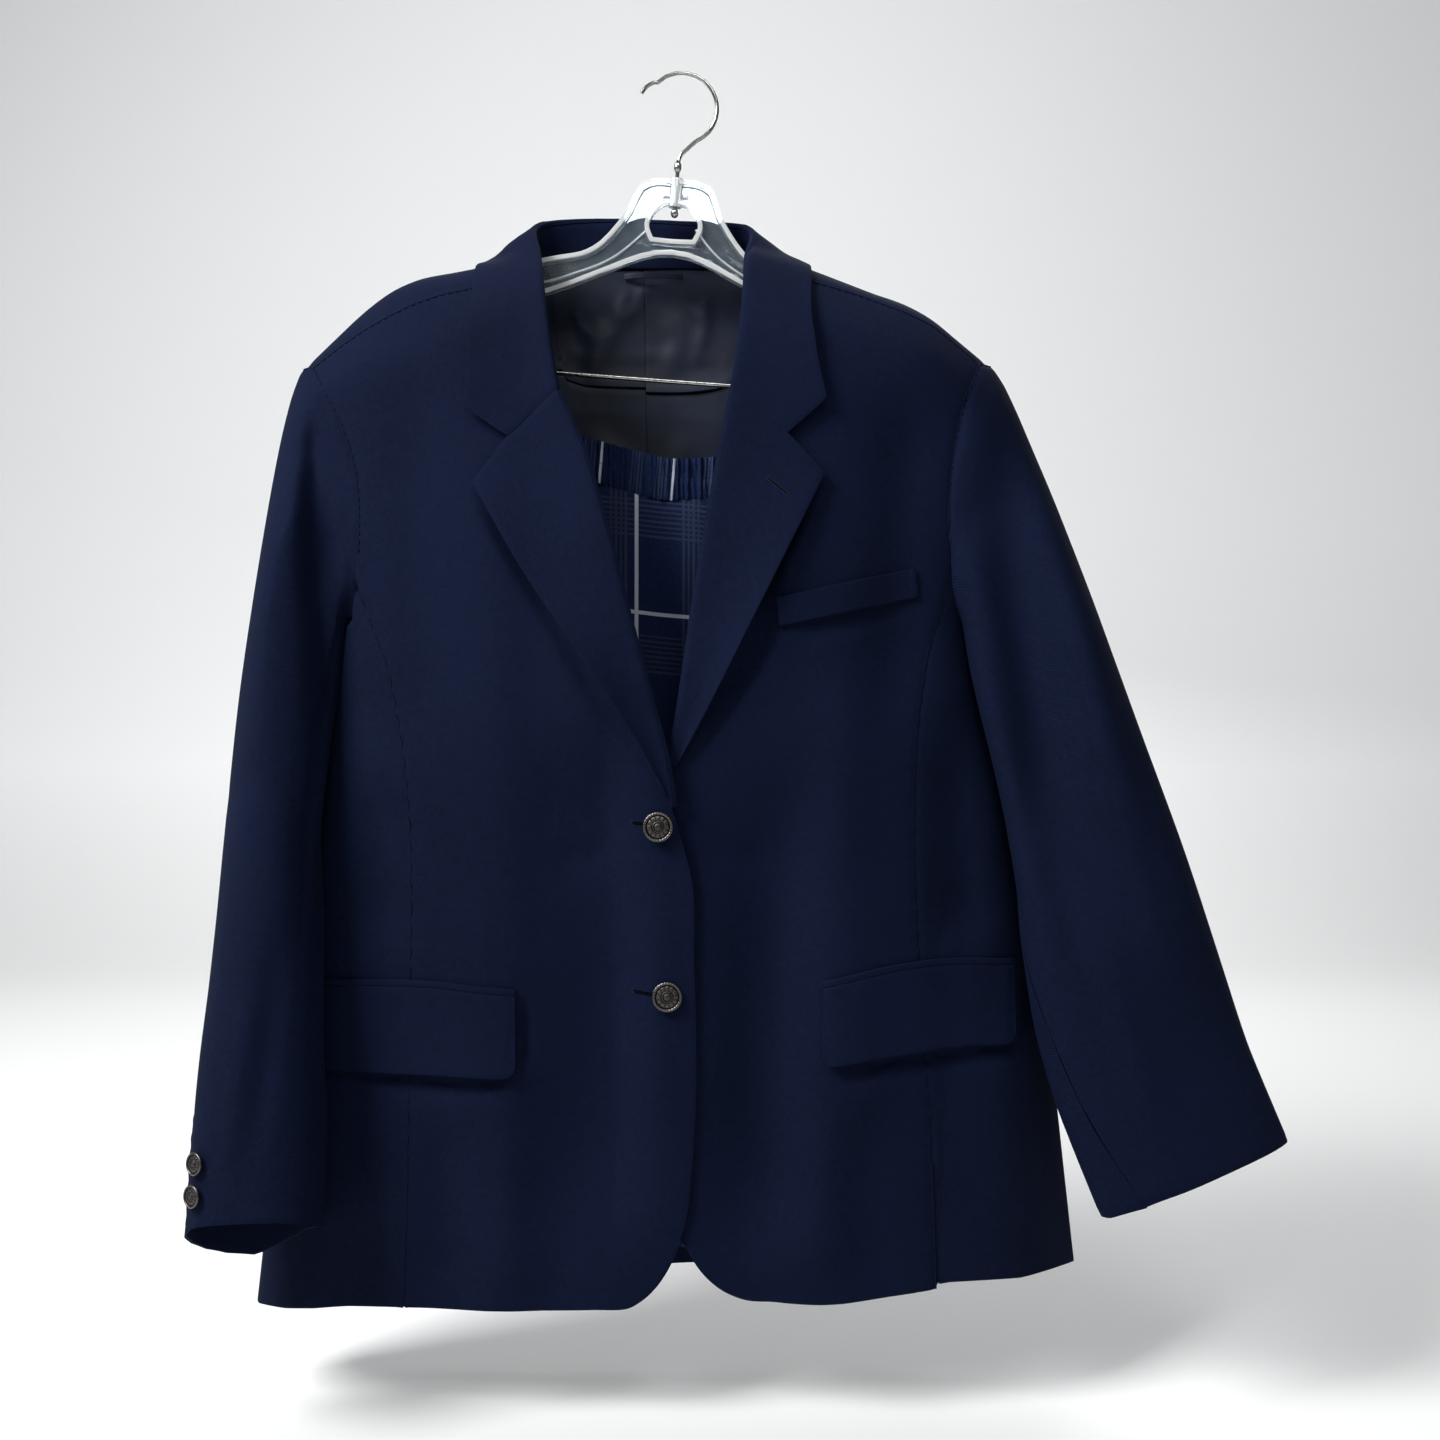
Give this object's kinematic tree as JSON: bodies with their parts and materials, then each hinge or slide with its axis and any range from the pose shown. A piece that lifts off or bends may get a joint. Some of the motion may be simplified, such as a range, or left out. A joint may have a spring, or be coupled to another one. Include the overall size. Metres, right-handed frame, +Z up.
{
  "type": "school uniform blazer and skirt on a hanger",
  "caption": "School uniform: a dark navy notch-lapel blazer with metal buttons and flap pockets, over a checked gathered skirt, hung on a clear plastic hanger with a wire hook.",
  "frame": {"origin": "the inside of the top of the hanger's hook, where it rests on what holds it", "axes": "+X to the viewer's right, +Y away from the viewer towards the back of the garment, +Z up"},
  "size_m": [0.7042, 0.1705, 0.8404],
  "materials": {
    "wool": "matte",
    "lining": "satin",
    "check": "matte",
    "button": "satin",
    "wire": "gloss",
    "clear": "gloss"
  },
  "bodies": {
    "root": {"front_left": "wool", "side_front_left": "wool", "back_left": "wool", "lapel_left": "wool", "sleeve_top_left": "wool", "sleeve_under_left": "wool", "pocket_flap_left": "wool", "pocket_jet_left": "wool", "lining_upper_left": "lining", "lining_lower_left": "lining", "button_cuff_left_top": "button", "button_cuff_left_low": "button", "clip_left": "clear", "front_right": "wool", "side_front_right": "wool", "back_right": "wool", "lapel_right": "wool", "sleeve_top_right": "wool", "sleeve_under_right": "wool", "pocket_flap_right": "wool", "pocket_jet_right": "wool", "lining_upper_right": "lining", "lining_lower_right": "lining", "button_cuff_right_top": "button", "button_cuff_right_low": "button", "clip_right": "clear", "breast_welt": "wool", "collar": "wool", "collar_stand": "wool", "hanger_loop": "lining", "button_front_top": "button", "button_front_low": "button", "waistband_front": "check", "waistband_back": "check", "skirt_front": "check", "skirt_back": "check", "hanger_body": "clear", "hook": "wire", "lower_bar": "wire"}
  },
  "joints": []
}
